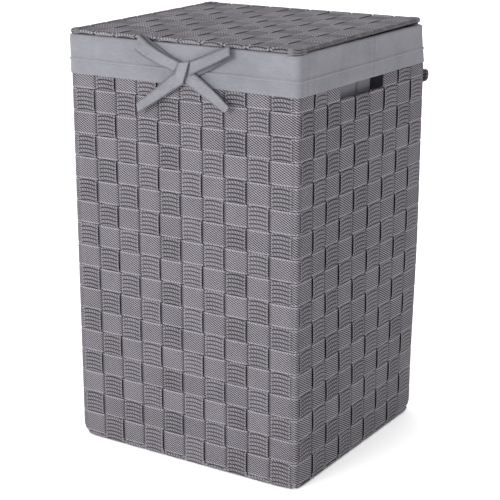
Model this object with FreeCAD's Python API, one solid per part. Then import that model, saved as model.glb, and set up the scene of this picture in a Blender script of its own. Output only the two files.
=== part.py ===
import FreeCAD, Part
import math
import os

os.makedirs("parts", exist_ok=True)

# Laundry hamper: a wire frame covered in plain-woven webbing, a woven lid hinged at
# the rear with webbing, and a cotton liner folded out over the rim.
# Millimetres, +Z up, front is -Y, origin at the middle of the footprint on the floor.

# ---- driving dimensions -------------------------------------------------------------
WIDTH = 349.0            # outside of the woven walls, left to right
DEPTH = 329.4            # outside of the woven walls, front to back
STRAP_W = 29.4           # webbing width
STRAP_T = 1.3            # webbing thickness
WEAVE_GAP = 0.3          # air between crossing straps
COLS_X = 10              # uprights on the front and on the rear
COLS_Y = 9               # uprights on each side
ROWS = 18                # hoops up the wall
PITCH_X = 33.6           # upright spacing on the front and rear
PITCH_Y = 35.2           # upright spacing on the sides
PITCH_Z = 30.4           # hoop spacing
ROWS_BOTTOM = 6.5        # height where the first hoop's pitch starts
HOOP_CORNER_R = 7.0      # outside radius of a hoop round a corner post
FRAME_WIRE_R = 2.0       # base and rim rings
RING_CORNER_R = 5.0
POST_R = 1.75
POST_INSET = 5.4         # corner post's centre from each outer face
WIRE_GAP = 0.25          # air between a wire and the strap folded round it
RIM_TAIL = 14.0          # turned-in end below the rim wire
SLOT_ROW = 17            # the hoop that the hand slots interrupt
SLOT_COLS = (4, 5, 6)    # side uprights that the hand slots interrupt
SLOT_FOLD = 12.0         # turned-in ends round a hand slot

LID_WIRE_R = 1.5
LID_PITCH_X = 33.3
LID_PITCH_Y = 34.6
LID_WIDTH = 349.0
LID_DEPTH = 326.7
LID_FRONT_PROUD = 1.0    # lid's front edge ahead of the wall's front face
LID_CORNER_R = 6.0
LID_TAIL = 6.5           # shorter than the corner square, so two tails never meet
LID_REST_GAP = 0.3

LINER_INSET = 7.7        # bag's outer face from the wall's outer face
LINER_T = 1.2
LINER_FLOOR_Z = 6.2
CUFF_T = 1.6
CUFF_GAP = 0.4           # cuff's inner face ahead of the wall's outer face
CUFF_HEM_Z = 511.5
CUFF_TOP_Z = 563.3
CUFF_CORNER_R = 9.0

HINGE_COLS = (1, 10)     # lid straps that go on over the rim as hinges
HINGE_TOP_GAP = 0.3      # hinge strap above the cuff
HINGE_PLAY = 1.55        # each half of a hinge strap stops this far from the bend
HINGE_LOOP_OUT = 18.7    # how far the looped end stands out behind the strap
HINGE_LOOP_TOP_Z = 509.0
HINGE_LOOP_BOTTOM_Z = 493.0

BOW_X = 8.0              # knot's middle
BOW_Z = 528.5
KNOT_W = 27.0
KNOT_H = 27.0
RIBBON_W = 20.0
RIBBON_T = 0.8
KNOT_OUT = 13.0          # how far the knot and the loops stand out from the cuff
LOOP_OUT = 20.0
LOOP_TIP = (64.0, 33.0)  # from the knot's middle to the middle of a loop's end
TAIL_TIP = (70.0, -45.0)

# ---- worked out ---------------------------------------------------------------------
STEP = (STRAP_T + WEAVE_GAP) / 2.0             # a strap's middle from the wall's middle
WALL_HALF = STEP + STRAP_T / 2.0               # half the woven wall's thickness
WRAP_R = FRAME_WIRE_R + WIRE_GAP + STRAP_T / 2.0
RING_N = STEP - WRAP_R                         # ring's centre from the wall's middle
RING_INSET = WALL_HALF - RING_N                # ring's centre from the outer face
BASE_Z = STRAP_T / 2.0 + WRAP_R
ROWS_TOP = ROWS_BOTTOM + ROWS * PITCH_Z
RIM_Z = ROWS_TOP + 3.0
HALF_W = WIDTH / 2.0
HALF_D = DEPTH / 2.0
HALF_STRAP = STRAP_W / 2.0
FOOT_N = -(LINER_INSET - 0.5 - WALL_HALF)      # inner end of an upright's foot
CUFF_OUT = CUFF_GAP + CUFF_T
HINGE_Y = HALF_D + CUFF_OUT + HINGE_TOP_GAP + STRAP_T / 2.0
HINGE_Z = CUFF_TOP_Z + HINGE_TOP_GAP + STRAP_T / 2.0


def write(node, solids):
    shape = solids[0] if len(solids) == 1 else Part.makeCompound(solids)
    shape.exportStep("parts/" + node + ".step")
    print(node, len(solids), "solid(s)", round(shape.Volume / 1000.0, 2), "cm3")


def vec(x, y, z):
    return FreeCAD.Vector(x, y, z)


def wire(points):
    return Part.makePolygon(points + [points[0]])


def outline(path, thickness):
    """Both edges of a strip whose middle line is path.

    A path point is (s, n) for a mitred corner, or (s, n, "level") where the strip
    keeps its full thickness measured along n, as it does between crossing straps.
    """
    left = []
    right = []
    half = thickness / 2.0
    for i, point in enumerate(path):
        s, n = point[0], point[1]
        if len(point) == 3:
            sign = 1.0
            if i + 1 < len(path) and path[i + 1][0] < s:
                sign = -1.0
            if i + 1 == len(path) and path[i - 1][0] > s:
                sign = -1.0
            off_s, off_n = 0.0, half * sign
        else:
            dirs = []
            if i > 0:
                dirs.append((s - path[i - 1][0], n - path[i - 1][1]))
            if i + 1 < len(path):
                dirs.append((path[i + 1][0] - s, path[i + 1][1] - n))
            unit = [(a / math.hypot(a, b), b / math.hypot(a, b)) for a, b in dirs]
            ts = sum(u[0] for u in unit)
            tn = sum(u[1] for u in unit)
            size = math.hypot(ts, tn)
            ts, tn = ts / size, tn / size
            cosine = ts * unit[0][0] + tn * unit[0][1]
            off_s, off_n = -tn * half / cosine, ts * half / cosine
        left.append((s + off_s, n + off_n))
        right.append((s - off_s, n - off_n))
    return left + right[::-1]


def strip(path, thickness, place, width_dir, width):
    """A strap: the strip's outline placed by place(s, n), pushed along width_dir."""
    face = Part.Face(wire([place(s, n) for s, n in outline(path, thickness)]))
    return face.extrude(width_dir * width)


def arc(centre, radius, start, end, steps):
    """Points on an arc in the (s, n) plane, angles in degrees from +s towards +n."""
    points = []
    for i in range(steps + 1):
        a = math.radians(start + (end - start) * i / steps)
        points.append((centre[0] + radius * math.cos(a), centre[1] + radius * math.sin(a)))
    return points


def upright_is_outside(row, ring_col):
    return (row + ring_col) % 2 == 1


def row_edges(row):
    middle = ROWS_BOTTOM + (row - 0.5) * PITCH_Z
    return middle - HALF_STRAP, middle + HALF_STRAP


# Each wall: outward direction, direction of travel round the basket, columns, spacing
# and the number of the column before its first one, counted round from the front left.
WALLS = {
    "front": (vec(0, -1, 0), vec(1, 0, 0), COLS_X, PITCH_X, HALF_D, HALF_W, 0),
    "right": (vec(1, 0, 0), vec(0, 1, 0), COLS_Y, PITCH_Y, HALF_W, HALF_D, COLS_X),
    "rear": (vec(0, 1, 0), vec(-1, 0, 0), COLS_X, PITCH_X, HALF_D, HALF_W, COLS_X + COLS_Y),
    "left": (vec(-1, 0, 0), vec(0, -1, 0), COLS_Y, PITCH_Y, HALF_W, HALF_D, 2 * COLS_X + COLS_Y),
}


def column_middle(wall, col):
    count, pitch = WALLS[wall][2], WALLS[wall][3]
    return (col - 0.5 - count / 2.0) * pitch


# ---- the wire frame -----------------------------------------------------------------
def ring_path(half_x, half_y, radius, z, mid_y=0.0):
    """A closed rounded rectangle as one wire."""
    edges = []
    corners = [(1, -1, -90), (1, 1, 0), (-1, 1, 90), (-1, -1, 180)]
    ends = []
    for sx, sy, start in corners:
        cx, cy = sx * (half_x - radius), mid_y + sy * (half_y - radius)
        pts = []
        for a in (start, start + 45, start + 90):
            t = math.radians(a)
            pts.append(vec(cx + radius * math.cos(t), cy + radius * math.sin(t), z))
        ends.append(pts)
    for i, pts in enumerate(ends):
        edges.append(Part.Arc(*pts).toShape())
        edges.append(Part.LineSegment(pts[2], ends[(i + 1) % 4][0]).toShape())
    return Part.Wire(edges)


def wire_ring(half_x, half_y, radius, z, wire_r, mid_y=0.0):
    path = ring_path(half_x, half_y, radius, z, mid_y)
    start = vec(half_x, mid_y + half_y - radius, z)
    section = Part.Wire(Part.makeCircle(wire_r, start, vec(0, 1, 0)))
    path_edges = path.Edges
    ordered = Part.Wire(path_edges[2:] + path_edges[:2])
    return ordered.makePipeShell([section], True, True)


write("base_wire", [wire_ring(HALF_W - RING_INSET, HALF_D - RING_INSET, RING_CORNER_R,
                              BASE_Z, FRAME_WIRE_R)])
write("rim_wire", [wire_ring(HALF_W - RING_INSET, HALF_D - RING_INSET, RING_CORNER_R,
                             RIM_Z, FRAME_WIRE_R)])
for name, sx, sy in (("front_left", -1, -1), ("front_right", 1, -1),
                     ("rear_left", -1, 1), ("rear_right", 1, 1)):
    foot = vec(sx * (HALF_W - POST_INSET), sy * (HALF_D - POST_INSET), BASE_Z + FRAME_WIRE_R)
    height = RIM_Z - BASE_Z - 2 * FRAME_WIRE_R
    write("corner_post_" + name, [Part.makeCylinder(POST_R, height, foot)])


# ---- hoops --------------------------------------------------------------------------
def wall_run(wall, row, first, last):
    """The hoop's middle line past columns first to last of a wall, as (t, n) points."""
    run = []
    for col in range(first, last + 1):
        middle = column_middle(wall, col)
        n = -STEP if upright_is_outside(row, WALLS[wall][6] + col) else STEP
        run.append((middle - HALF_STRAP, n))
        run.append((middle + HALF_STRAP, n))
    return run


def on_wall(wall, t, n, z):
    """A point t along a wall, n outward from the wall's middle surface."""
    out, along, out_half = WALLS[wall][0], WALLS[wall][1], WALLS[wall][4]
    return out * (out_half - WALL_HALF + n) + along * t + vec(0, 0, z)


def corner_points(wall, reach, z):
    """The hoop's outer or inner face round the corner at the end of a wall."""
    out, along, out_half, along_half = WALLS[wall][0], WALLS[wall][1], WALLS[wall][4], WALLS[wall][5]
    centre = out * (out_half - HOOP_CORNER_R) + along * (along_half - HOOP_CORNER_R)
    points = []
    for i in range(5):
        a = math.radians(90.0 * i / 4)
        points.append(centre + (out * math.cos(a) + along * math.sin(a)) * reach + vec(0, 0, z))
    return points


def hoop_edge(row, side, z, spans):
    """One edge of a hoop: side is +1 for its outer face and -1 for its inner face."""
    points = []
    for index, (wall, first, last) in enumerate(spans):
        for t, n in wall_run(wall, row, first, last):
            points.append(on_wall(wall, t, n + side * STRAP_T / 2.0, z))
        if last == WALLS[wall][2] and (index + 1 < len(spans) or first == 1):
            reach = HOOP_CORNER_R if side > 0 else HOOP_CORNER_R - STRAP_T
            points += corner_points(wall, reach, z)
    return points


def whole_hoop(row):
    low, high = row_edges(row)
    spans = [(wall, 1, WALLS[wall][2]) for wall in ("front", "right", "rear", "left")]
    outer = Part.Face(wire(hoop_edge(row, 1, low, spans)))
    inner = Part.Face(wire(hoop_edge(row, -1, low, spans)))
    lift = vec(0, 0, high - low)
    return outer.extrude(lift).cut(inner.extrude(lift))


def part_hoop(row, spans):
    """A hoop that stops at a hand slot on both sides, its ends turned in."""
    low, high = row_edges(row)
    outer = hoop_edge(row, 1, low, spans)
    inner = hoop_edge(row, -1, low, spans)
    fold_n = -STEP - STRAP_T - WEAVE_GAP

    def turned_end(wall, col, sign):
        edge = column_middle(wall, col) + sign * HALF_STRAP
        stop = edge + sign * (WEAVE_GAP + STRAP_T)
        back = edge - sign * SLOT_FOLD
        is_out = not upright_is_outside(row, WALLS[wall][6] + col)
        n = STEP if is_out else -STEP
        half = STRAP_T / 2.0
        outer_end = [(stop, n + half), (stop, fold_n - half), (back, fold_n - half)]
        inner_end = [(back, fold_n + half), (edge + sign * WEAVE_GAP, fold_n + half)]
        if is_out:
            inner_end.append((edge + sign * WEAVE_GAP, n - half))
        else:
            inner_end = [(back, fold_n + half)]
            inner_end.append((edge + sign * WEAVE_GAP, fold_n + half))
            inner_end.append((edge + sign * WEAVE_GAP, n - half))
        return [on_wall(wall, t, m, low) for t, m in outer_end + inner_end]

    last_wall, last_col = spans[-1][0], spans[-1][2]
    first_wall, first_col = spans[0][0], spans[0][1]
    points = outer + turned_end(last_wall, last_col, 1) + inner[::-1]
    points += turned_end(first_wall, first_col, -1)[::-1]
    return Part.Face(wire(points)).extrude(vec(0, 0, high - low))


for row in range(1, ROWS + 1):
    if row == SLOT_ROW:
        before, after = SLOT_COLS[0] - 1, SLOT_COLS[-1] + 1
        front = [("left", after, COLS_Y), ("front", 1, COLS_X), ("right", 1, before)]
        rear = [("right", after, COLS_Y), ("rear", 1, COLS_X), ("left", 1, before)]
        write("hoop_%02d_front" % row, [part_hoop(row, front)])
        write("hoop_%02d_rear" % row, [part_hoop(row, rear)])
    else:
        write("hoop_%02d" % row, [whole_hoop(row)])


# ---- uprights -----------------------------------------------------------------------
def woven(ring_col, first_row, last_row):
    """An upright's middle line, (z, n), past rows first_row to last_row."""
    path = []
    for row in range(first_row, last_row + 1):
        low, high = row_edges(row)
        n = STEP if upright_is_outside(row, ring_col) else -STEP
        path.append((low, n, "level"))
        path.append((high, n, "level"))
    return path


def foot_path():
    """Under the base wire, from the floor run's end to the wall."""
    turn = arc((BASE_Z, RING_N), WRAP_R, 180, 90, 3)
    return [(STRAP_T / 2.0, FOOT_N)] + turn


def rim_path():
    """Over the rim wire and down inside."""
    turn = arc((RIM_Z, RING_N), WRAP_R, 90, -90, 6)
    return turn + [(RIM_Z - RIM_TAIL, RING_N - WRAP_R)]


def hem(z_edge, n, direction):
    """A turned-in end at z_edge: up or down past the hoop's edge, in, and back."""
    fold_n = -STEP - STRAP_T - WEAVE_GAP
    turn_z = z_edge + direction * (WEAVE_GAP + STRAP_T / 2.0)
    return [(turn_z, n), (turn_z, fold_n), (z_edge - direction * SLOT_FOLD, fold_n)]


def upright(wall, col, path):
    along = WALLS[wall][1]
    left = column_middle(wall, col) - HALF_STRAP
    return strip(path, STRAP_T, lambda z, n: on_wall(wall, left, n, z), along, STRAP_W)


def plain_upright(wall, col):
    ring_col = WALLS[wall][6] + col
    return upright(wall, col, foot_path() + woven(ring_col, 1, ROWS) + rim_path())


def lower_upright(wall, col):
    ring_col = WALLS[wall][6] + col
    top_row = SLOT_ROW - 1
    n = STEP if upright_is_outside(top_row, ring_col) else -STEP
    end = hem(row_edges(top_row)[1], n, 1)
    return upright(wall, col, foot_path() + woven(ring_col, 1, top_row) + end)


def upper_upright(wall, col):
    ring_col = WALLS[wall][6] + col
    row = SLOT_ROW + 1
    n = STEP if upright_is_outside(row, ring_col) else -STEP
    start = hem(row_edges(row)[0], n, -1)[::-1]
    return upright(wall, col, start + woven(ring_col, row, ROWS) + rim_path())


for wall in ("front", "rear"):
    write("uprights_" + wall, [plain_upright(wall, col) for col in range(1, COLS_X + 1)])
for wall in ("left", "right"):
    cols = range(1, COLS_Y + 1)
    write("uprights_" + wall, [lower_upright(wall, col) if col in SLOT_COLS
                               else plain_upright(wall, col) for col in cols])
    write("slot_uprights_" + wall, [upper_upright(wall, col) for col in SLOT_COLS])


# ---- woven floor: the runs between the uprights' feet -------------------------------
FLOOR_MID_Z = STRAP_T / 2.0 + STEP             # level of the floor weave's middle


def floor_strap(crossings, pitch, half_length, parity, place, width_dir):
    """Starts and ends low, where it meets the feet, and weaves between."""
    path = [(-half_length, -STEP, "level")]
    for i in range(crossings):
        middle = (i + 0.5 - crossings / 2.0) * pitch
        n = STEP if (i + parity) % 2 else -STEP
        path.append((middle - HALF_STRAP, n, "level"))
        path.append((middle + HALF_STRAP, n, "level"))
    path.append((half_length, -STEP, "level"))
    return strip(path, STRAP_T, place, width_dir, STRAP_W)


long_straps = []
for i in range(COLS_X):
    x = (i + 0.5 - COLS_X / 2.0) * PITCH_X - HALF_STRAP
    long_straps.append(floor_strap(COLS_Y, PITCH_Y, HALF_D - WALL_HALF + FOOT_N, i,
                                   lambda s, n: vec(x, s, FLOOR_MID_Z + n), vec(1, 0, 0)))
write("floor_straps_long", long_straps)
cross_straps = []
for i in range(COLS_Y):
    y = (i + 0.5 - COLS_Y / 2.0) * PITCH_Y - HALF_STRAP
    cross_straps.append(floor_strap(COLS_X, PITCH_X, HALF_W - WALL_HALF + FOOT_N, i + 1,
                                    lambda s, n: vec(s, y, FLOOR_MID_Z + n), vec(0, 1, 0)))
write("floor_straps_cross", cross_straps)


# ---- lid ----------------------------------------------------------------------------
LID_WRAP_R = LID_WIRE_R + WIRE_GAP + STRAP_T / 2.0
LID_EDGE = LID_WRAP_R + STRAP_T / 2.0          # lid wire's centre from the lid's edge
LID_Z = CUFF_TOP_Z + LID_REST_GAP + LID_EDGE
LID_MID_Y = -HALF_D - LID_FRONT_PROUD + LID_DEPTH / 2.0
LID_RING_X = LID_WIDTH / 2.0 - LID_EDGE
LID_RING_Y = LID_DEPTH / 2.0 - LID_EDGE

write("lid_wire", [wire_ring(LID_RING_X, LID_RING_Y, LID_CORNER_R, LID_Z, LID_WIRE_R,
                             LID_MID_Y)])


def lid_end(ring, sign):
    """Over the lid's wire and back underneath, for the end on the sign side."""
    turn = arc((ring, 0.0), LID_WRAP_R, 135, -90, 5)
    points = turn + [(ring - LID_TAIL, -LID_WRAP_R)]
    if sign > 0:
        return points
    return [(-s, n) for s, n in points][::-1]


def hinge_end():
    """Over the lid's rear wire and on down to the hinge line at the rim."""
    turn = arc((LID_RING_Y, 0.0), LID_WRAP_R, 135, 45, 2)
    drop = HINGE_Z - LID_Z
    reach = HINGE_Y - LID_MID_Y
    return turn + [(reach - 3.6, drop), (reach - HINGE_PLAY, drop)]


def lid_strap(crossings, pitch, ring, parity, place, width_dir, hinged=False):
    path = lid_end(ring, -1)
    for i in range(crossings):
        middle = (i + 0.5 - crossings / 2.0) * pitch
        n = STEP if (i + parity) % 2 else -STEP
        path.append((middle - HALF_STRAP, n, "level"))
        path.append((middle + HALF_STRAP, n, "level"))
    path += hinge_end() if hinged else lid_end(ring, 1)
    return strip(path, STRAP_T, place, width_dir, STRAP_W)


def lid_column_x(col):
    return (col - 0.5 - COLS_X / 2.0) * LID_PITCH_X


def lid_long_strap(col):
    x = lid_column_x(col) - HALF_STRAP
    return lid_strap(COLS_Y, LID_PITCH_Y, LID_RING_Y, col - 1,
                     lambda s, n: vec(x, LID_MID_Y + s, LID_Z + n), vec(1, 0, 0),
                     col in HINGE_COLS)


write("lid_straps_long", [lid_long_strap(col) for col in range(1, COLS_X + 1)
                          if col not in HINGE_COLS])
for name, col in zip(("left", "right"), HINGE_COLS):
    write("lid_hinge_strap_" + name, [lid_long_strap(col)])
lid_cross = []
for i in range(COLS_Y):
    y = LID_MID_Y + (i + 0.5 - COLS_Y / 2.0) * LID_PITCH_Y - HALF_STRAP
    lid_cross.append(lid_strap(COLS_X, LID_PITCH_X, LID_RING_X, i + 1,
                               lambda s, n: vec(s, y, LID_Z + n), vec(0, 1, 0)))
write("lid_straps_cross", lid_cross)

# The same straps go on from the hinge line, down the outside of the cuff, and end in
# a loop tucked back into the rear wall.
for name, col in zip(("left", "right"), HINGE_COLS):
    x = lid_column_x(col) - HALF_STRAP
    loop_y = HINGE_Y + HINGE_LOOP_OUT
    tuck_y = HALF_D + 0.3 + STRAP_T / 2.0
    low, high = HINGE_LOOP_BOTTOM_Z, HINGE_LOOP_TOP_Z
    down = [(HINGE_Y, HINGE_Z - HINGE_PLAY), (HINGE_Y, high + 2.0), (HINGE_Y + 2.0, high),
            (loop_y - 5.0, high - 2.0), (loop_y - 1.0, high - 5.0), (loop_y, (low + high) / 2.0),
            (loop_y - 1.0, low + 4.0), (loop_y - 5.0, low + 1.0), (tuck_y + 2.0, low),
            (tuck_y, low + 2.5)]
    write("hinge_strap_" + name, [strip(down, STRAP_T, lambda y, z: vec(x, y, z),
                                        vec(1, 0, 0), STRAP_W)])


# ---- liner --------------------------------------------------------------------------
def rounded_block(half_x, half_y, radius, z_low, z_high):
    face = Part.Face(ring_path(half_x, half_y, radius, z_low))
    return face.extrude(vec(0, 0, z_high - z_low))


BAG_TOP_Z = CUFF_TOP_Z - CUFF_T
bag = rounded_block(HALF_W - LINER_INSET, HALF_D - LINER_INSET, CUFF_CORNER_R,
                    LINER_FLOOR_Z, BAG_TOP_Z)
bag_inside = rounded_block(HALF_W - LINER_INSET - LINER_T, HALF_D - LINER_INSET - LINER_T,
                           CUFF_CORNER_R - LINER_T, LINER_FLOOR_Z + LINER_T, BAG_TOP_Z + 1.0)
write("liner_bag", [bag.cut(bag_inside)])

cuff = rounded_block(HALF_W + CUFF_OUT, HALF_D + CUFF_OUT, CUFF_CORNER_R,
                     CUFF_HEM_Z, CUFF_TOP_Z)
cuff_well = rounded_block(HALF_W + CUFF_GAP, HALF_D + CUFF_GAP, CUFF_CORNER_R - CUFF_T,
                          CUFF_HEM_Z - 1.0, BAG_TOP_Z)
cuff_mouth = rounded_block(HALF_W - LINER_INSET - LINER_T, HALF_D - LINER_INSET - LINER_T,
                           CUFF_CORNER_R - LINER_T, CUFF_HEM_Z - 1.0, CUFF_TOP_Z + 1.0)
write("liner_cuff", [cuff.cut(cuff_well).cut(cuff_mouth)])


# ---- ribbon bow on the cuff's front -------------------------------------------------
BOW_BACK = HALF_D + CUFF_OUT + 0.3              # the bow's back, ahead of the centre


def bow_place(tip):
    """Maps (along the ribbon, out from the cuff) to a point, and gives the width's way."""
    length = math.hypot(*tip)
    ux, uz = tip[0] / length, tip[1] / length
    across = vec(-uz, 0, ux)
    start = vec(BOW_X, 0, BOW_Z) - across * (RIBBON_W / 2.0)
    return (lambda s, out: start + vec(ux * s, -BOW_BACK - out, uz * s)), across


def ribbon(tip, path):
    place, across = bow_place(tip)
    return strip(path, RIBBON_T, place, across, RIBBON_W)


def ribbon_loop(sign):
    """Out from the knot along the cuff, round at the tip, and back further out."""
    tip = (sign * LOOP_TIP[0], LOOP_TIP[1])
    reach = math.hypot(*tip)
    start = KNOT_W / 2.0 + 4.8
    low, high = RIBBON_T / 2.0, LOOP_OUT - RIBBON_T / 2.0
    path = [(start, low), (reach * 0.75, low), (reach - 3.0, low + 3.0), (reach - 0.4, low + 8.0),
            (reach - 3.0, high - 2.0), (reach * 0.8, high), (reach * 0.55, high - 3.0),
            (start, low + 6.0)]
    return ribbon(tip, path)


knot = Part.makeBox(KNOT_W, KNOT_OUT, KNOT_H,
                    vec(BOW_X - KNOT_W / 2.0, -BOW_BACK - KNOT_OUT, BOW_Z - KNOT_H / 2.0))
front_edges = [e for e in knot.Edges if abs(e.CenterOfMass.y + BOW_BACK + KNOT_OUT) < 0.01]
write("ribbon_knot", [knot.makeChamfer(4.0, front_edges)])
for name, sign in (("left", -1), ("right", 1)):
    write("ribbon_loop_" + name, [ribbon_loop(sign)])
    tip = (sign * TAIL_TIP[0], TAIL_TIP[1])
    reach = math.hypot(*tip)
    flat = [(KNOT_W / 2.0 + 5.5, RIBBON_T / 2.0), (reach, RIBBON_T / 2.0)]
    write("ribbon_tail_" + name, [ribbon(tip, flat)])

print("hinge axis y, z:", round(HINGE_Y, 3), round(HINGE_Z, 3))
print("lid z:", round(LID_Z, 3), "top:", round(LID_Z + LID_EDGE, 3))
print("front-most:", round(-BOW_BACK - LOOP_OUT, 3), "rear-most:",
      round(HINGE_Y + HINGE_LOOP_OUT + STRAP_T / 2.0, 3))
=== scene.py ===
import math

import bpy
import numpy as np
from mathutils import Matrix, Vector


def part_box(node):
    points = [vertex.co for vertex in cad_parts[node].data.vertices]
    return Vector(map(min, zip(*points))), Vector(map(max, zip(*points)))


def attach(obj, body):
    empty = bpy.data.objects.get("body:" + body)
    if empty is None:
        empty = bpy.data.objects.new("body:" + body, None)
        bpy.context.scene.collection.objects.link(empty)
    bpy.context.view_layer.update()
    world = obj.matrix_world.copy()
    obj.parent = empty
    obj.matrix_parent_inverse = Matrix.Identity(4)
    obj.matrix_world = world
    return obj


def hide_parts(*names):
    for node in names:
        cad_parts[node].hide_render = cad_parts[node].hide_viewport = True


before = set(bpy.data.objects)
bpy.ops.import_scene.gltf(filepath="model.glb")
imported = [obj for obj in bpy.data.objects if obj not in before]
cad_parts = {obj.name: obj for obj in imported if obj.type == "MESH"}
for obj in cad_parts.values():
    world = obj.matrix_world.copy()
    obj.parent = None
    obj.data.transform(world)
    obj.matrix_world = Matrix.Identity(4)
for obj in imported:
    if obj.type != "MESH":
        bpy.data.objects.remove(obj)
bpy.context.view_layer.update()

# Laundry hamper: wire frame, plain-woven webbing, hinged woven lid, folded-out cotton
# liner and a ribbon bow. Metres, +Z up, front is -Y, origin under the middle.

MM = 0.001
RNG = np.random.default_rng(11)

# ---- sizes of the woven basket ----
STRAP_W = 29.4 * MM
STRAP_T = 1.2 * MM
HOOP_OUT, HOOP_IN = 0.95 * MM, 1.25 * MM      # swing outward and inward of the wall
UPRIGHT_OUT, UPRIGHT_IN = 1.50 * MM, 0.90 * MM
FLOOR_SWING = 0.72 * MM
HOOP_SHARP, UPRIGHT_SHARP = 3.0, 3.2          # how abruptly a strap changes sides
HOOP_STEP, UPRIGHT_STEP = 3.2 * MM, 2.9 * MM  # from one cross-section to the next
FOLD_R = 1.25 * MM                            # bend of a strap's turned-in end
COLS_X, COLS_Y, ROWS = 10, 9, 18
PITCH_X, PITCH_Y, PITCH_Z = 33.6 * MM, 35.2 * MM, 30.4 * MM
ROWS_BOTTOM = 6.5 * MM
HOOP_R = 5.0 * MM                     # outside radius of a hoop's corner
CORNER_N = 0.35 * MM                  # a hoop stands out this far at the corners
RING_N = -1.75 * MM                   # frame wire's centre from the wall's middle
WRAP_R = 2.9 * MM                     # strap's middle from the frame wire's centre
RIM_TAIL = 14.0 * MM
SLOT_ROW, SLOT_COLS = 17, (4, 5, 6)

wall_low, wall_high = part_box("hoop_01")
HALF_W = (wall_high.x - wall_low.x) / 2
HALF_D = (wall_high.y - wall_low.y) / 2
WALL_HALF = 1.45 * MM                 # half the woven wall's thickness
MID_W, MID_D = HALF_W - WALL_HALF, HALF_D - WALL_HALF
base_low, base_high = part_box("base_wire")
BASE_Z = (base_low.z + base_high.z) / 2
rim_low, rim_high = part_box("rim_wire")
RIM_Z = (rim_low.z + rim_high.z) / 2
FOOT_N = -5.75 * MM                   # end of an upright's foot from the wall's middle

lid_low, lid_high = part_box("lid_wire")
LID_Z = (lid_low.z + lid_high.z) / 2
LID_WIRE_R = (lid_high.z - lid_low.z) / 2
LID_MID_Y = (lid_low.y + lid_high.y) / 2
LID_RING_X = (lid_high.x - lid_low.x) / 2 - LID_WIRE_R
LID_RING_Y = (lid_high.y - lid_low.y) / 2 - LID_WIRE_R
LID_WRAP_R = 2.4 * MM                 # strap's middle from the lid wire's centre
LID_LONG_SWING, LID_CROSS_SWING, LID_SWING_IN = 1.3 * MM, 0.8 * MM, 0.8 * MM
LID_BLEND = 9.0 * MM                  # width of the flat margin beside the wire
LID_RISE = 3.0 * MM                   # the hinges hold the lid's rear edge a little high
LID_FRONT_Y = LID_MID_Y - LID_RING_Y
LID_PITCH_X, LID_PITCH_Y = 33.3 * MM, 34.6 * MM
LID_TAIL = 6.5 * MM
LID_CORNER_R = 6.0 * MM
LID_STRAP_W = 30.4 * MM

cuff_low, cuff_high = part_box("liner_cuff")
CUFF_TOP, CUFF_HEM = cuff_high.z, cuff_low.z
CUFF_X, CUFF_Y = cuff_high.x, cuff_high.y
CUFF_CORNER_R = 9.0 * MM
bag_low, bag_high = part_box("liner_bag")

HINGE_Y, HINGE_Z = 167.65 * MM, 564.25 * MM   # where the hinge straps bend


# ---- camera and light ----
SKY_LEFT, SKY_RIGHT, SKY_FRONT = 1.45, 0.62, 0.55    # the front's is added to the others
KEY_POWER = 34.0


def look(location, yaw, pitch):
    """Rotation that looks along a heading turned left of +Y by yaw, down by pitch."""
    ahead = Vector((-math.sin(yaw) * math.cos(pitch), math.cos(yaw) * math.cos(pitch),
                    -math.sin(pitch)))
    turn = ahead.to_track_quat("-Z", "Y").to_matrix().to_4x4()
    return Matrix.Translation(location) @ turn


def make_camera():
    """The photograph's view, from the fit to the weave's corners."""
    data = bpy.data.cameras.new("camera")
    data.sensor_width = 36.0
    data.lens = 102.86
    data.clip_start, data.clip_end = 0.05, 100.0
    camera = bpy.data.objects.new("camera", data)
    camera.matrix_world = look(Vector((1.0260, -1.6076, 0.8207)), math.radians(32.55),
                               math.radians(16.50))
    bpy.context.scene.collection.objects.link(camera)
    bpy.context.scene.camera = camera


def make_key_light():
    """A large soft disc in front, aimed at the middle of the hamper."""
    data = bpy.data.lights.new("key", "AREA")
    data.shape = "DISK"
    data.size = 1.0
    data.energy = KEY_POWER
    light = bpy.data.objects.new("key", data)
    where, target = Vector((-0.5, -2.7, 1.1)), Vector((0.0, 0.0, 0.3))
    aim = (target - where).to_track_quat("-Z", "Y").to_matrix().to_4x4()
    light.matrix_world = Matrix.Translation(where) @ aim
    bpy.context.scene.collection.objects.link(light)


def make_world():
    """A white studio: the sky dims from the hamper's left to its right and is brighter
    in front of it."""
    world = bpy.data.worlds.new("studio")
    bpy.context.scene.world = world
    world.use_nodes = True
    tree = world.node_tree
    background = tree.nodes["Background"]
    background.inputs["Color"].default_value = (1.0, 1.0, 1.0, 1.0)
    facing = tree.nodes.new("ShaderNodeSeparateXYZ")
    tree.links.new(tree.nodes.new("ShaderNodeTexCoord").outputs["Generated"],
                   facing.inputs["Vector"])
    strength = Term(tree, facing.outputs["X"]).rises(-0.1, 0.8).blend(SKY_LEFT, SKY_RIGHT)
    strength = strength + Term(tree, facing.outputs["Y"]).rises(-0.2, -0.9) * SKY_FRONT
    tree.links.new(strength.socket, background.inputs["Strength"])
    bpy.context.scene.view_settings.view_transform = "Standard"


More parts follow.
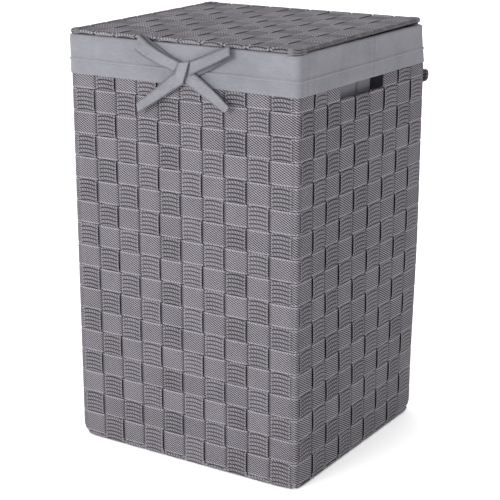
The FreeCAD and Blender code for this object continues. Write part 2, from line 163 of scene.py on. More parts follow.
# ---- shader nodes as arithmetic ----
class Term:
    """A node's output that takes part in sums and products."""

    def __init__(self, tree, socket):
        self.tree = tree
        self.socket = socket

    def op(self, kind, *others):
        node = self.tree.nodes.new("ShaderNodeMath")
        node.operation = kind
        for i, value in enumerate((self,) + others):
            if isinstance(value, Term):
                self.tree.links.new(value.socket, node.inputs[i])
            else:
                node.inputs[i].default_value = value
        return Term(self.tree, node.outputs[0])

    def __add__(self, other):
        return self.op("ADD", other)

    def __sub__(self, other):
        return self.op("SUBTRACT", other)

    def __mul__(self, other):
        return self.op("MULTIPLY", other)

    def rises(self, low, high):
        """0 below low, 1 above high, smooth between."""
        node = self.tree.nodes.new("ShaderNodeMapRange")
        node.interpolation_type = "SMOOTHSTEP"
        self.tree.links.new(self.socket, node.inputs["Value"])
        node.inputs["From Min"].default_value = low
        node.inputs["From Max"].default_value = high
        return Term(self.tree, node.outputs["Result"])

    def blend(self, at_zero, at_one):
        """From at_zero to at_one as this goes from 0 to 1."""
        return self * (at_one - at_zero) + at_zero


class Surface:
    """A material with its principled shader, and helpers that feed it."""

    def __init__(self, name, roughness, **sockets):
        self.material = bpy.data.materials.new(name)
        self.material.use_nodes = True
        self.tree = self.material.node_tree
        self.shader = self.tree.nodes["Principled BSDF"]
        self.shader.inputs["Roughness"].default_value = roughness
        for key, value in sockets.items():
            self.shader.inputs[key.replace("_", " ")].default_value = value

    def node(self, kind, links=(), **settings):
        node = self.tree.nodes.new(kind)
        for key, value in settings.items():
            setattr(node, key, value)
        for key, value in dict(links).items():
            if isinstance(value, Term):
                self.tree.links.new(value.socket, node.inputs[key])
            elif isinstance(value, bpy.types.NodeSocket):
                self.tree.links.new(value, node.inputs[key])
            else:
                node.inputs[key].default_value = value
        return node

    def along_and_across(self):
        uv = self.node("ShaderNodeUVMap", uv_map="strap")
        split = self.node("ShaderNodeSeparateXYZ", {"Vector": uv.outputs["UV"]})
        return Term(self.tree, split.outputs["X"]), Term(self.tree, split.outputs["Y"])

    def attribute(self, name):
        node = self.node("ShaderNodeAttribute", attribute_name=name)
        return Term(self.tree, node.outputs["Fac"])

    def noise(self, scale, detail=3.0, stretch=(1.0, 1.0, 1.0)):
        where = self.node("ShaderNodeTexCoord").outputs["Object"]
        sized = self.node("ShaderNodeMapping", {"Vector": where, "Scale": stretch})
        node = self.node("ShaderNodeTexNoise", {"Vector": sized.outputs["Vector"],
                                                "Scale": scale, "Detail": detail})
        return Term(self.tree, node.outputs["Fac"])

    def colour(self, dark, light, share):
        """Base colour between dark and light as share goes from 0 to 1."""
        mix = self.node("ShaderNodeMix", data_type="RGBA")
        self.tree.links.new(share.socket, mix.inputs["Factor"])
        mix.inputs[6].default_value = dark + (1.0,)
        mix.inputs[7].default_value = light + (1.0,)
        self.tree.links.new(mix.outputs[2], self.shader.inputs["Base Color"])

    def relief(self, height, depth):
        """Bump: height from 0 to 1 stands depth metres."""
        bump = self.node("ShaderNodeBump", {"Height": height, "Distance": depth,
                                            "Strength": 1.0})
        self.tree.links.new(bump.outputs["Normal"], self.shader.inputs["Normal"])


# ---- materials ----
TURN = 2.0 * math.pi
RIB_PITCH = 5.4 * MM
BEAD_PITCH = 3.4 * MM                 # of the selvedge
RIBBED_YARN, PLAIN_YARN = 4.3 * MM, 3.15 * MM    # from one yarn to the next, across
RIB_BOW = 2.0 * MM                    # of a rib's middle from its ends
WEBBING_DARK = np.array([0.0115, 0.0105, 0.0122])
WEBBING_LIGHT = np.array([0.262, 0.245, 0.273])


def webbing(name, ribbed, shade=1.0):
    """Woven polypropylene webbing: slanting yarn floats and beaded edges lightened as a
    painted highlight, and painted shade where it dives under another strap; ribbed webbing
    has a dark bowed line every float, painted shade in each rib's groove."""
    surface = Surface(name, 0.72, Specular_IOR_Level=0.12)
    along, across = surface.along_and_across()
    centre = (across * across) * (-1.0 / (STRAP_W / 2) ** 2) + 1.0
    bowed = along - centre * (RIB_BOW if ribbed else 0.0)
    steps = bowed * (TURN / RIB_PITCH)
    ends = across * (TURN / (RIBBED_YARN if ribbed else PLAIN_YARN))
    floats = (steps + ends).op("COSINE") * 0.68 + (steps - ends).op("COSINE") * 0.32
    yarn = (floats * 0.5 + 0.5).rises(0.20, 0.82)
    if ribbed:
        # Painted shade: each rib's groove is a dark line in the colour, on ribbed webbing only,
        # standing for the shade that light from above lays on the ribs.
        rib_shade = (steps.op("COSINE") * 0.5 + 0.5).rises(0.03, 0.46)
        body = (yarn * 0.62 + 0.34).op("MULTIPLY", rib_shade * 0.84 + 0.16)
    else:
        body = yarn * 1.06
    # Painted highlight: the beaded selvedges are made lighter than the body along both edges.
    edge = across.op("ABSOLUTE").rises(STRAP_W / 2 - 2.4 * MM, STRAP_W / 2 - 1.2 * MM)
    bead_highlight = (along * (TURN / BEAD_PITCH)).op("COSINE").rises(-0.8, 0.6)
    bead_highlight = bead_highlight * 0.65 + (0.34 if ribbed else 0.66)
    fibre = surface.noise(650.0, 2.0)
    cloudy = surface.noise(24.0, 2.0)
    tint = surface.attribute("tint")
    thread = edge.op("MULTIPLY", bead_highlight - body) + body
    share = thread * 0.80 + fibre * 0.40 + cloudy * 0.18 + tint * 0.10 - 0.28
    # Painted shade: the colour goes almost black where the strap dives under another strap.
    dive_shade_factor = surface.attribute("dive_shade") * -0.98 + 1.0
    share = share.rises(-0.10, 1.10).op("MULTIPLY", dive_shade_factor)
    surface.colour(tuple(WEBBING_DARK * shade), tuple(WEBBING_LIGHT * shade), share)
    surface.relief(thread * 0.8 + fibre * 0.15, 0.55 * MM)
    return surface.material


RIBBON_W = 20.0 * MM
COTTON_PITCH = 0.9 * MM


def cotton(name, dark, light, crease_depth, hem_and_edge_shade=False):
    """Plain cotton: fine weave, slubs, soft blotches and small creases; a hemmed ribbon
    has a sewn line inside each edge and painted shade along its very edges."""
    surface = Surface(name, 0.86, Specular_IOR_Level=0.25, Sheen_Weight=0.15,
                      Sheen_Roughness=0.5)
    along, across = surface.along_and_across()
    warp = (along * (TURN / COTTON_PITCH)).op("SINE")
    weft = (across * (TURN / COTTON_PITCH)).op("SINE")
    weave = (warp * weft) * 0.5 + 0.5
    slub = surface.noise(160.0, 2.0, (1.0, 1.0, 6.0))
    blotch = surface.noise(14.0, 3.0)
    crease = surface.noise(38.0, 2.0, (1.0, 1.0, 1.6))
    share = weave * 0.10 + slub * 0.35 + blotch * 0.50 + crease * 0.25 - 0.08
    height = weave * 0.12 + slub * 0.2 + crease * crease_depth
    if hem_and_edge_shade:
        reach = (across - RIBBON_W / 2).op("ABSOLUTE")
        sewn = reach.rises(RIBBON_W * 0.38, RIBBON_W * 0.40)
        sewn = sewn - reach.rises(RIBBON_W * 0.42, RIBBON_W * 0.44)
        # Painted shade: darker along the ribbon's very edges.
        edge_shade = reach.rises(RIBBON_W * 0.455, RIBBON_W * 0.49)
        share = share - sewn * 0.34 - edge_shade * 0.95
        height = height - sewn * 0.35
    surface.colour(dark, light, share.rises(0.0, 1.0))
    surface.relief(height, 0.6 * MM)
    return surface.material


def painted_wire():
    """Grey-painted steel wire with small chips and drawn streaks."""
    surface = Surface("painted_wire", 0.42, Metallic=0.0, Coat_Weight=0.2)
    chips = surface.noise(420.0, 4.0).rises(0.60, 0.68)
    streak = surface.noise(90.0, 3.0, (4.0, 4.0, 0.3))
    surface.colour((0.10, 0.10, 0.105), (0.34, 0.33, 0.33), chips * 0.6 + streak * 0.3)
    surface.relief(streak * 0.5 - chips * 0.5, 0.15 * MM)
    return surface.material


def thread():
    """Twisted sewing thread, a shade lighter than the cotton: partly the thread's own colour and
    partly a painted highlight along the seam's ridge.
    """
    surface = Surface("sewing_thread", 0.7, Sheen_Weight=0.2)
    twist = surface.noise(2600.0, 2.0)
    # Partly painted highlight: the thread is lighter so that the sewn seam reads as a lit ridge.
    surface.colour((0.19, 0.19, 0.215), (0.33, 0.33, 0.36), twist)
    surface.relief(twist, 0.1 * MM)
    return surface.material


# ---- meshes ----
class Mesh:
    """Collects points, faces and strap coordinates, then makes one object."""

    def __init__(self):
        self.points = []
        self.quads = []
        self.caps = []
        self.uv = []
        self.cap_uv = []
        self.tint = []
        self.dive_shade = []
        self.count = 0                # points so far

    def grid(self, points, along, across, closed_i=False, closed_j=False, tint=0.5,
             lengths=None, dive_shade=0.0):
        """points[i, j]; along[i] and across[j] are the strap coordinates in metres and
        dive_shade[i] is 1 where the strap passes under another and takes painted shade."""
        rows, cols = points.shape[:2]
        dive_shade = np.broadcast_to(np.asarray(dive_shade, float), (rows,))
        self.dive_shade.append(np.repeat(dive_shade, cols))
        index = self.count + np.arange(rows * cols).reshape(rows, cols)
        self.points.append(points.reshape(-1, 3))
        self.tint.append(np.full(rows * cols, tint))
        self.count += rows * cols
        last_i = rows if closed_i else rows - 1
        last_j = cols if closed_j else cols - 1
        i = np.arange(last_i)[:, None]
        j = np.arange(last_j)[None, :]
        i2, j2 = (i + 1) % rows, (j + 1) % cols
        quads = np.stack([index[i, j], index[i2, j], index[i2, j2], index[i, j2]], axis=-1)
        along = np.broadcast_to(along[:, None] if along.ndim == 1 else along, (rows, cols))
        across = np.broadcast_to(across[None, :] if across.ndim == 1 else across, (rows, cols))
        step_i = np.where(i2 < i, lengths[0] if lengths else 0.0, 0.0)
        step_j = np.where(j2 < j, lengths[1] if lengths else 0.0, 0.0)
        uv = []
        for a, b, add_i, add_j in ((i, j, 0, 0), (i2, j, 1, 0), (i2, j2, 1, 1), (i, j2, 0, 1)):
            uv.append(np.stack([along[a, b] + add_i * step_i, across[a, b] + add_j * step_j],
                               axis=-1))
        self.quads.append(quads.reshape(-1, 4))
        self.uv.append(np.stack(uv, axis=-2).reshape(-1, 4, 2))
        return index

    def cap(self, ring, along, across):
        """Closes an end with one face on the ring of points."""
        self.caps.append(list(ring))
        self.cap_uv.append([(along, v) for v in across])

    def make(self, name, material, thickness=0.0):
        """One object of all that was added; thickness makes a thin sheet solid."""
        data = bpy.data.meshes.new(name)
        points = np.concatenate(self.points)
        quads = np.concatenate(self.quads)
        cap_loops = [k for ring in self.caps for k in ring]
        loops = np.concatenate([quads.ravel(), np.array(cap_loops, int)])
        sizes = [4] * len(quads) + [len(ring) for ring in self.caps]
        starts = np.concatenate([[0], np.cumsum(sizes)[:-1]])
        data.vertices.add(len(points))
        data.vertices.foreach_set("co", points.astype(np.float32).ravel())
        data.loops.add(len(loops))
        data.loops.foreach_set("vertex_index", loops.astype(np.int32))
        data.polygons.add(len(sizes))
        data.polygons.foreach_set("loop_start", starts.astype(np.int32))
        data.polygons.foreach_set("use_smooth", np.ones(len(sizes), bool))
        data.update(calc_edges=True)
        layer = data.uv_layers.new(name="strap")
        uv = np.concatenate(self.uv).reshape(-1, 2)
        if self.cap_uv:
            uv = np.concatenate([uv, np.array([p for ring in self.cap_uv for p in ring])])
        layer.data.foreach_set("uv", uv.astype(np.float32).ravel())
        # The dive attribute carries the painted shade where a strap passes under another.
        for kind, values in (("tint", self.tint), ("dive_shade", self.dive_shade)):
            attribute = data.attributes.new(kind, "FLOAT", "POINT")
            attribute.data.foreach_set("value", np.concatenate(values).astype(np.float32))
        data.validate()
        data.materials.append(material)
        piece = bpy.data.objects.new(name, data)
        bpy.context.scene.collection.objects.link(piece)
        if thickness:
            shell = piece.modifiers.new("cloth", "SOLIDIFY")
            shell.thickness = thickness
            shell.offset = 0.0
        return piece


# The right wall's columns are spread unevenly: how far each has moved along Y.
SPREAD_AT = np.array([-176.0, -120.0, -70.0, -20.0, 41.0, 100.0, 176.0]) * MM
SPREAD_BY = np.array([0.0, -6.0, -10.0, -8.0, -2.0, 3.5, 7.0]) * MM
LEAN = 1.6 * MM
DRAWN_IN, DRAWN_BELOW = 3.6 * MM, 17 * MM


def settle(piece):
    """The handmade basket's unevenness: the right wall's columns spread and its rear end
    leans out towards the top, and the corners are drawn in at the foot."""
    data = piece.data
    flat = np.empty(len(data.vertices) * 3, np.float32)
    data.vertices.foreach_get("co", flat)
    points = flat.reshape(-1, 3).astype(float)
    x, y, z = points.T.copy()
    up = ease(z, 40 * MM, 290 * MM) * (1 - 0.4 * ease(z, 505 * MM, 520 * MM))
    up = up * (1 - ease(z, 520 * MM, 555 * MM))
    points[:, 0] += LEAN * up * ease(x, 60 * MM, 165 * MM) * ease(y, -60 * MM, 160 * MM)
    points[:, 1] += up * ease(x, 0.0, 165 * MM) * np.interp(y, SPREAD_AT, SPREAD_BY)
    corner = ease(np.abs(x), 140 * MM, 176 * MM) * ease(np.abs(y), 140 * MM, 176 * MM)
    drawn = DRAWN_IN * corner * (1 - ease(z, 0.0, DRAWN_BELOW))
    points[:, 0] -= np.sign(x) * drawn
    points[:, 1] -= np.sign(y) * drawn
    data.vertices.foreach_set("co", points.astype(np.float32).ravel())
    data.update()


def tilt(piece):
    """Turns a lid piece about the lid's front edge so that its rear edge stands high."""
    angle = math.atan2(LID_RISE, 2 * LID_RING_Y)
    pivot = Matrix.Translation((0.0, LID_FRONT_Y, LID_Z))
    piece.data.transform(pivot @ Matrix.Rotation(angle, 4, "X") @ pivot.inverted())


def place(piece, body, node=None):
    """The piece follows its body's unevenness, rides on the body and stands for the CAD node,
    where there is one."""
    if body == "basket":
        settle(piece)
    else:
        tilt(piece)
    if node:
        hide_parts(node)
    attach(piece, body)


def lay(mesh, node, material, body="basket"):
    """The mesh becomes the webbing that stands for the CAD node."""
    place(mesh.make(node + "_webbing", material), body, node)


def slip():
    """Where along the webbing's pattern a strap starts."""
    return RNG.random() * 10 * MM


def column(i, count, pitch):
    """Middle of the strap numbered i, from 0, among count straps."""
    return (i + 0.5 - count / 2) * pitch


def mm(*points):
    """Points given in millimetres, in metres."""
    return np.array(points) * MM


def unit(vectors):
    """The vectors at length 1."""
    return vectors / np.maximum(np.linalg.norm(vectors, axis=-1, keepdims=True), 1e-12)


# A strap's section, from -1 to 1 across and from -1 to 1 through: flat faces that thin
# towards rounded selvedges.
TOP_V = np.array([-0.955, -0.86, -0.55, -0.2, 0.2, 0.55, 0.86, 0.955])
TOP_N = np.array([0.84, 0.98, 1.0, 1.0, 1.0, 1.0, 0.98, 0.84])
BOTTOM_V = np.array([0.955, 0.5, -0.5, -0.955])
SECTION_V = np.concatenate([TOP_V, [1.0, 1.0], BOTTOM_V, [-1.0, -1.0]])
SECTION_N = np.concatenate([TOP_N, [0.38, -0.38], [-0.84, -1.0, -1.0, -0.84], [-0.38, 0.38]])


def strap(mesh, middle, width_dir, outward, width=STRAP_W, thick=STRAP_T, closed=False,
          start=0.0, dive_shade=0.0):
    """Adds a strap along the points of middle; width_dir and outward are unit vectors, and
    start is where in the webbing's pattern it begins."""
    steps = np.linalg.norm(np.diff(middle, axis=0), axis=1)
    along = np.concatenate([[0.0], np.cumsum(steps)]) + start
    width = np.broadcast_to(np.asarray(width, float), (len(middle),))
    across = SECTION_V[None, :] * width[:, None] / 2
    points = (middle[:, None, :] + width_dir[:, None, :] * across[:, :, None]
              + outward[:, None, :] * (SECTION_N * thick / 2)[None, :, None])
    total = along[-1] - along[0] + np.linalg.norm(middle[0] - middle[-1])
    tint = RNG.random()
    index = mesh.grid(points, along, across, closed_i=closed, closed_j=True, tint=tint,
                      lengths=(total, 0.0), dive_shade=dive_shade)
    if not closed:
        mesh.cap(index[0], along[0], across[0])
        mesh.cap(index[-1][::-1], along[-1], across[-1][::-1])


DIVE_SHADE_SHARE = 0.55        # painted shade: uprights darken less than hoops where they pass under


def flat_strap(mesh, path, origin, s_dir, n_dir, width_dir, width_at=None, inner=0.0, **kwargs):
    """A strap whose middle line is path, (s, n) pairs in the plane of s_dir and n_dir;
    width_at gives its width for each s, inner how far it swings behind the wall, which
    sets where it takes painted shade."""
    path = np.asarray(path, float)
    if width_at is not None:
        kwargs["width"] = width_at(path[:, 0])
    if inner:
        kwargs["dive_shade"] = diving(path[:, 1], inner) * DIVE_SHADE_SHARE
    middle = np.asarray(origin) + path[:, :1] * np.asarray(s_dir) + path[:, 1:] * np.asarray(n_dir)
    heading = unit(np.gradient(path, axis=0))
    outward = -heading[:, 1:] * np.asarray(s_dir) + heading[:, :1] * np.asarray(n_dir)
    width_dirs = np.broadcast_to(np.asarray(width_dir, float), middle.shape)
    strap(mesh, middle, width_dirs, outward, **kwargs)


def swing(s, pitch, count, first_sign, sharp, outer, inner):
    """Offset of a strap woven past count straps a pitch apart, centred on s = 0; sharp is
    how abruptly it changes sides, outer and inner how far it swings to each."""
    wave = first_sign * np.sin(np.pi * (s / pitch + count / 2))
    wave = np.tanh(sharp * wave) / math.tanh(sharp)
    return np.where(wave > 0, outer, inner) * wave


def diving(n, inner):
    """1 where the strap lies behind the wall's middle, 0 once it is out again: the mask of the
    painted shade where a strap passes under another.
    """
    return 1.0 - ease(np.asarray(n), -0.45 * inner, 0.50 * inner)


def arc(centre, radius, start, end, steps):
    """Points round part of a circle, from start to end degrees."""
    angles = np.radians(np.linspace(start, end, steps + 1))
    return np.stack([centre[0] + radius * np.cos(angles), centre[1] + radius * np.sin(angles)],
                    axis=1)


def ease(x, low, high):
    """0 below low, 1 above high, smooth between."""
    t = np.clip((x - low) / (high - low), 0.0, 1.0)
    return t * t * (3 - 2 * t)


def through(points, step):
    """A smooth line through the points (Catmull-Rom), about step apart."""
    points = np.asarray(points, float)
    padded = np.concatenate([[2 * points[0] - points[1]], points, [2 * points[-1] - points[-2]]])
    line = []
    for i in range(len(points) - 1):
        p0, p1, p2, p3 = padded[i:i + 4]
        count = max(2, int(round(np.linalg.norm((p2 - p1)[:3]) / step)))
        t = np.arange(count)[:, None] / count
        line.append(0.5 * (2 * p1 + (p2 - p0) * t + (2 * p0 - 5 * p1 + 4 * p2 - p3) * t ** 2
                           + (3 * p1 - p0 - 3 * p2 + p3) * t ** 3))
    line.append(points[-1:])
    return np.concatenate(line)


# ---- the woven walls ----
X, Y, Z = np.eye(3)
# Each wall: outward, along, columns, spacing, half-size outward, half-size along, and
# the number of its first column less one, counted round from the front left.
WALLS = {
    "front": (-Y, X, COLS_X, PITCH_X, MID_D, MID_W, 0),
    "right": (X, Y, COLS_Y, PITCH_Y, MID_W, MID_D, COLS_X),
    "rear": (Y, -X, COLS_X, PITCH_X, MID_D, MID_W, COLS_X + COLS_Y),
    "left": (-X, -Y, COLS_Y, PITCH_Y, MID_W, MID_D, 2 * COLS_X + COLS_Y),
}
CORNER_MID_R = HOOP_R - WALL_HALF     # a hoop's middle line round a corner


def wall_side(wall, row, from_t, to_t):
    """A hoop's middle line and outward directions along one wall's flat part."""
    out, along, count, pitch, out_half, along_half, before = WALLS[wall]
    steps = max(2, int(round((to_t - from_t) / HOOP_STEP)))
    t = np.linspace(from_t, to_t, steps + 1)
    first_sign = 1.0 if (row + before + 1) % 2 == 0 else -1.0
    n = swing(t, pitch, count, first_sign, HOOP_SHARP, HOOP_OUT, HOOP_IN)
    corner = ease(np.abs(t), along_half - 13 * MM, along_half - 6 * MM)
    n = n * (1 - corner) + CORNER_N * corner
    middle = out * (out_half + n)[:, None] + along * t[:, None]
    slope = np.gradient(n, t)[:, None]
    return middle, unit(out - along * slope), diving(n, HOOP_IN)


def wall_corner(wall, steps=6):
    """Round the corner at the end of a wall, without its first and last points."""
    out, along, _, _, out_half, along_half, _ = WALLS[wall]
    angles = np.radians(np.linspace(0, 90, steps + 1))[1:-1, None]
    direction = out * np.cos(angles) + along * np.sin(angles)
    centre = out * (out_half - CORNER_MID_R) + along * (along_half - CORNER_MID_R)
    return centre + direction * (CORNER_MID_R + CORNER_N), direction, np.zeros(len(angles))


def hoop_line(row, spans):
    """Middle line, outward directions and painted dive shade of a hoop. Spans are (wall,
    from_t, to_t, goes round the corner at its end), with None for a wall's own end."""
    lines = []
    for wall, from_t, to_t, turns in spans:
        flat = WALLS[wall][5] - CORNER_MID_R
        low = -flat if from_t is None else from_t
        high = flat if to_t is None else to_t
        lines.append(wall_side(wall, row, low, high))
        if turns:
            lines.append(wall_corner(wall))
    return [np.concatenate(parts) for parts in zip(*lines)]


def row_middle(row):
    """Height of a hoop's middle; rows count from 1."""
    return ROWS_BOTTOM + (row - 0.5) * PITCH_Z


def hoop(mesh, row, spans, closed):
    """Adds a hoop, or a length of one with both ends turned in."""
    middle, outward, dive_shade = hoop_line(row, spans)
    if not closed:
        middle, outward = turn_in(middle, outward)
        folded = np.zeros((len(middle) - len(dive_shade)) // 2)
        dive_shade = np.concatenate([folded, dive_shade, folded])
    middle = middle + Z * row_middle(row)
    width_dirs = np.broadcast_to(Z, middle.shape)
    strap(mesh, middle, width_dirs, outward, closed=closed, start=slip(), dive_shade=dive_shade)


def turn_in(middle, outward):
    """Folds both ends of a hoop's line inward and back behind it."""
    ends = []
    for at, inner in ((0, 1), (-1, -2)):
        ahead = unit(middle[at] - middle[inner])
        ahead = ahead - outward[at] * (ahead @ outward[at])
        out = outward[at]
        turn = []
        facing = []
        for angle in np.radians([22.5, 67.5, 112.5, 157.5]):
            turn.append(middle[at] + ahead * FOLD_R * math.sin(angle)
                        - out * FOLD_R * (1 - math.cos(angle)))
            facing.append(out * math.cos(angle) + ahead * math.sin(angle))
        for back in (1.0, 4.0, 8.0, 11.0):
            turn.append(middle[at] - out * 2 * FOLD_R - ahead * back * MM)
            facing.append(-out)
        ends.append((np.array(turn), np.array(facing)))
    (first, first_out), (last, last_out) = ends
    return (np.concatenate([first[::-1], middle, last]),
            np.concatenate([first_out[::-1], outward, last_out]))


def make_hoops(material):
    """Whole hoops, and the front and rear lengths of the one that the hand slots cut."""
    whole = [(wall, None, None, True) for wall in WALLS]
    edge_before = (SLOT_COLS[0] - 1 - COLS_Y / 2) * PITCH_Y - 2.2 * MM
    edge_after = -edge_before
    for row in range(1, ROWS + 1):
        if row != SLOT_ROW:
            mesh = Mesh()
            hoop(mesh, row, whole, True)
            lay(mesh, "hoop_%02d" % row, material)
            continue
        parts = {
            "front": [("left", edge_after, None, True), ("front", None, None, True),
                      ("right", None, edge_before, False)],
            "rear": [("right", edge_after, None, True), ("rear", None, None, True),
                     ("left", None, edge_before, False)],
        }
        for part, spans in parts.items():
            mesh = Mesh()
            hoop(mesh, row, spans, False)
            lay(mesh, "hoop_%02d_%s" % (row, part), material)


def upright_path(ring_col, low, high):
    """Middle line of a wall upright, (z, n) pairs with n outward of the wall's middle."""
    steps = max(2, int(round((high - low) / UPRIGHT_STEP)))
    z = np.linspace(low, high, steps + 1)
    sign = 1.0 if ring_col % 2 == 0 else -1.0
    n = swing(z - ROWS_BOTTOM, PITCH_Z, 0, sign, UPRIGHT_SHARP, UPRIGHT_OUT, UPRIGHT_IN)
    n = np.where(z < row_middle(1), UPRIGHT_OUT if sign > 0 else -UPRIGHT_IN, n)
    foot = ease(z, BASE_Z + 0.2 * MM, BASE_Z + 3.0 * MM)
    n = n * foot + (RING_N + WRAP_R) * (1 - foot)
    return np.stack([z, n], axis=1)


def foot_path():
    """From under the basket round the base wire."""
    under = np.array([[BASE_Z - WRAP_R, FOOT_N], [BASE_Z - WRAP_R, FOOT_N / 2 + RING_N / 2]])
    return np.concatenate([under, arc((BASE_Z, RING_N), WRAP_R, 180, 90, 6)])


def rim_path():
    """Over the rim wire and down inside."""
    over = arc((RIM_Z, RING_N), WRAP_R, 90, -90, 8)
    return np.concatenate([over, [[RIM_Z - RIM_TAIL / 2, RING_N - WRAP_R],
                                  [RIM_Z - RIM_TAIL, RING_N - WRAP_R]]])


def fold_path(z, n, direction):
    """A turned-in end: on past z, round, and back behind the strap."""
    turn = arc((0.0, n - FOLD_R), FOLD_R, 90, -90, 6)
    turn[:, 0] = z + direction * turn[:, 0]
    back = [[z - direction * k * MM, n - 2 * FOLD_R] for k in (4.0, 8.0, 12.0)]
    return np.concatenate([turn, back])


def foot_width(pitch):
    """Straps are pressed wide where they fold under the base wire and all but touch."""
    wide = pitch - 0.5 * MM
    return lambda z: wide + (STRAP_W - wide) * ease(z, 7.0 * MM, 9.0 * MM)


def make_uprights(material):
    """One piece for each wall's uprights, and one for the stubs above each hand slot."""
    top = ROWS_BOTTOM + ROWS * PITCH_Z
    for wall, (out, along, count, pitch, out_half, _, before) in WALLS.items():
        full, stubs = Mesh(), Mesh()
        for col in range(1, count + 1):
            ring_col = before + col
            origin = out * out_half + along * column(col - 1, count, pitch)
            slotted = wall in ("left", "right") and col in SLOT_COLS
            if slotted:
                edge = row_middle(SLOT_ROW - 1) + STRAP_W / 2 + 0.6 * MM
                run = upright_path(ring_col, BASE_Z + 1 * MM, edge)
                path = np.concatenate([foot_path(), run, fold_path(edge, run[-1, 1], 1)[1:]])
                edge = row_middle(SLOT_ROW + 1) - STRAP_W / 2 - 0.6 * MM
                run = upright_path(ring_col, edge, top)
                upper = np.concatenate([fold_path(edge, run[0, 1], -1)[:0:-1], run, rim_path()])
                flat_strap(stubs, upper, origin, Z, out, along, inner=UPRIGHT_IN,
                           start=slip())
            else:
                run = upright_path(ring_col, BASE_Z + 1 * MM, top)
                path = np.concatenate([foot_path(), run, rim_path()])
            flat_strap(full, path, origin, Z, out, along, width_at=foot_width(pitch),
                       inner=UPRIGHT_IN, start=slip())
        lay(full, "uprights_" + wall, material)
        if stubs.count:
            lay(stubs, "slot_uprights_" + wall, material)


def make_floor_weave(long_material, cross_material):
    """The straps that go on under the base, woven like the walls."""
    level = BASE_Z - WRAP_R
    for name, count, pitch, half, crossed, crossed_pitch, s_dir, w_dir, material in (
            ("long", COLS_X, PITCH_X, MID_D + FOOT_N, COLS_Y, PITCH_Y, Y, X, long_material),
            ("cross", COLS_Y, PITCH_Y, MID_W + FOOT_N, COLS_X, PITCH_X, X, Y, cross_material)):
        mesh = Mesh()
        for i in range(count):
            sign = 1.0 if (i + (name == "cross")) % 2 else -1.0
            s = np.linspace(-half, half, int(round(2 * half / HOOP_STEP)) + 1)
            n = swing(s, crossed_pitch, crossed, sign, HOOP_SHARP, FLOOR_SWING, FLOOR_SWING)
            n = (n + 0.8 * MM) * (1 - ease(np.abs(s), half - 7 * MM, half))
            origin = w_dir * column(i, count, pitch) + Z * level
            flat_strap(mesh, np.stack([s, n], axis=1), origin, s_dir, Z, w_dir, start=slip())
        lay(mesh, "floor_straps_" + name, material)


# ---- wires and lid ----
def wire_ring(node, body, material, radius):
    """A frame wire bent into a rounded rectangle, sized from its CAD node's box."""
    low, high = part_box(node)
    wire_r = (high.z - low.z) / 2
    points, outward = ring((high.x - low.x) / 2 - wire_r, (high.y - low.y) / 2 - wire_r, radius)
    angles = np.linspace(0, TURN, 11)[:-1]
    rows = (points[:, None] + outward[:, None] * (np.cos(angles) * wire_r)[None, :, None]
            + Z * (np.sin(angles) * wire_r)[None, :, None])
    rows = rows + Y * ((low.y + high.y) / 2) + Z * ((low.z + high.z) / 2)
    mesh = Mesh()
    mesh.grid(rows, np.arange(len(rows)) * MM, angles * MM, closed_i=True, closed_j=True,
              lengths=(0.0, 0.0))
    place(mesh.make(node + "_ring", material), body, node)


def make_wires(material):
    wire_ring("lid_wire", "lid", material, LID_CORNER_R)
    wire_ring("rim_wire", "basket", material, CORNER_MID_R)
    wire_ring("base_wire", "basket", material, CORNER_MID_R)


def lid_run(sign, half, pitch, crossed, hinged, outer):
    """Middle line of a lid strap: (s, n) from its front or left end to the other. half is
    the wire's distance, and a hinged strap goes on to the hinge line."""
    s = np.linspace(-half, half, int(round(2 * half / UPRIGHT_STEP)) + 1)[1:-1]
    n = swing(s, pitch, crossed, sign, HOOP_SHARP, outer, LID_SWING_IN)
    over = ease(np.abs(s), half - LID_BLEND, half)
    n = n * (1 - over) + LID_WRAP_R * over
    tail = [[-half + LID_TAIL, -LID_WRAP_R], [-half + LID_TAIL / 2, -LID_WRAP_R]]
    start = np.concatenate([tail, arc((-half, 0.0), LID_WRAP_R, -90, -270, 8)])
    run = np.stack([s, n], axis=1)
    if not hinged:
        end = start[::-1] * np.array([-1.0, 1.0])
        return np.concatenate([start, run, end])
    reach = HINGE_Y - LID_MID_Y
    drop = HINGE_Z - LID_Z - LID_RISE * (HINGE_Y - LID_FRONT_Y) / (2 * LID_RING_Y)
    over_rim = through([(half, LID_WRAP_R), (half + 2.2 * MM, LID_WRAP_R - 1.0 * MM),
                        (half + 4.6 * MM, drop + 1.1 * MM), (reach - 3.0 * MM, drop),
                        (reach, drop)], 1.0 * MM)
    return np.concatenate([start, run, over_rim])


def make_lid(long_material, cross_material):
    """The first and last straps front to back are the hinges' and pieces of their own."""
    middle = Y * LID_MID_Y + Z * LID_Z
    plain, cross = Mesh(), Mesh()
    for i in range(COLS_X):
        sign = 1.0 if i % 2 else -1.0
        hinged = i in (0, COLS_X - 1)
        origin = middle + X * column(i, COLS_X, LID_PITCH_X)
        path = lid_run(sign, LID_RING_Y, LID_PITCH_Y, COLS_Y, hinged, LID_LONG_SWING)
        mesh = Mesh() if hinged else plain
        flat_strap(mesh, path, origin, Y, Z, X, width=LID_STRAP_W, start=slip())
        if hinged:
            side = "left" if i == 0 else "right"
            lay(mesh, "lid_hinge_strap_" + side, long_material, "lid")
    lay(plain, "lid_straps_long", long_material, "lid")
    for j in range(COLS_Y):
        sign = 1.0 if j % 2 == 0 else -1.0
        origin = middle + Y * column(j, COLS_Y, LID_PITCH_Y)
        path = lid_run(sign, LID_RING_X, LID_PITCH_X, COLS_X, False, LID_CROSS_SWING)
        flat_strap(cross, path, origin, X, Z, Y, width=LID_STRAP_W, start=slip())
    lay(cross, "lid_straps_cross", cross_material, "lid")


